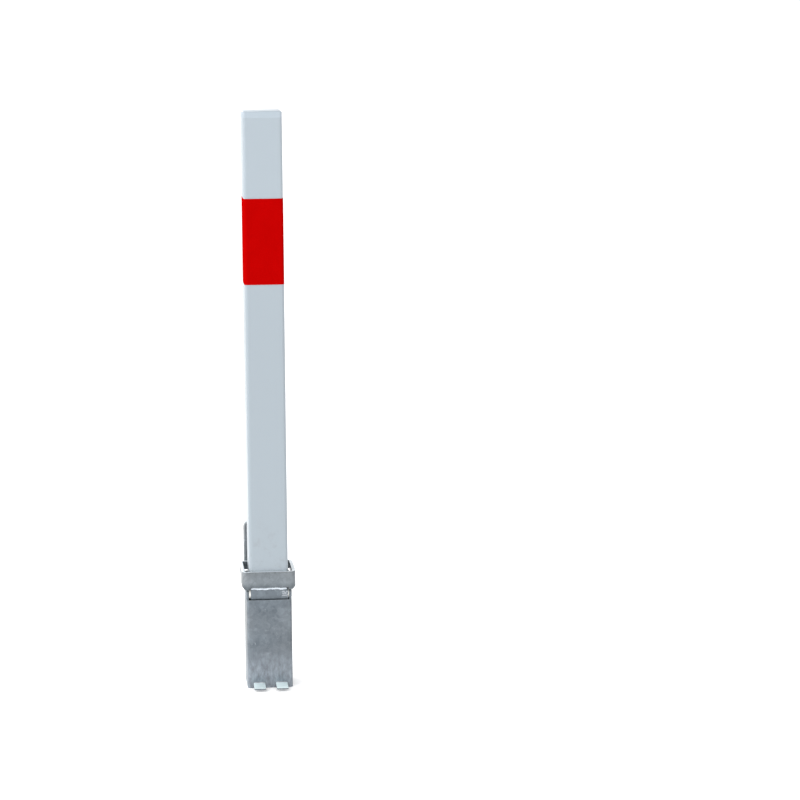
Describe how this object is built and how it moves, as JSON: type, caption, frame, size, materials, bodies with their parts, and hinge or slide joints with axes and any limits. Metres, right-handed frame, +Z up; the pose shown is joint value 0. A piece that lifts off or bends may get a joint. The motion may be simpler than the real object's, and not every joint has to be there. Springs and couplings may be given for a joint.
{
  "type": "folding parking lock",
  "caption": "Square parking post hinged in a ground sleeve, held upright by a lifting collar that drops over the hinge and can be padlocked.",
  "frame": {"origin": "centre of the sleeve's bottom face", "axes": "+Z up along the post, -Y to the front, the way the post folds, +X to the right seen from the front"},
  "size_m": [0.083, 0.126, 0.89],
  "materials": {
    "galvanised": "hot-dip galvanised, mottled",
    "galvanised_collar": "hot-dip galvanised, rubbed",
    "pin_steel": "bright zinc",
    "white_coat": "satin powder coat",
    "cap_plastic": "moulded",
    "red_sheet": "reflective sheeting",
    "nylon": "natural nylon"
  },
  "bodies": {
    "ground": {"base_plate": "galvanised", "ground_sleeve": "galvanised", "front_left_claw": "galvanised", "front_right_claw": "galvanised", "rear_left_claw": "galvanised", "rear_right_claw": "galvanised", "locking_dog": "galvanised", "hinge_pin": "pin_steel"},
    "post": {"left_bush": "nylon", "right_bush": "nylon", "hinge_block": "galvanised", "foot_plate": "galvanised", "left_web": "galvanised", "right_web": "galvanised", "post_tube": "white_coat", "top_cap": "cap_plastic", "reflective_band": "red_sheet", "padlock_lug": "white_coat"},
    "collar": {"collar_ring": "galvanised_collar", "lifting_bail": "galvanised_collar"}
  },
  "joints": [
    {"name": "post_fold", "type": "hinge", "parent": "ground", "child": "post", "pos_m": [0, -0.022, 0.147], "axis": [1, 0, 0], "range_deg": [0, 90]},
    {"name": "collar_slide", "type": "slide", "parent": "post", "child": "collar", "axis": [0, 0, 1], "range_m": [0, 0.066]}
  ],
  "couplings": [
    {"joint": "collar_slide", "follows": "post_fold", "m_per_rad": 0.042}
  ]
}
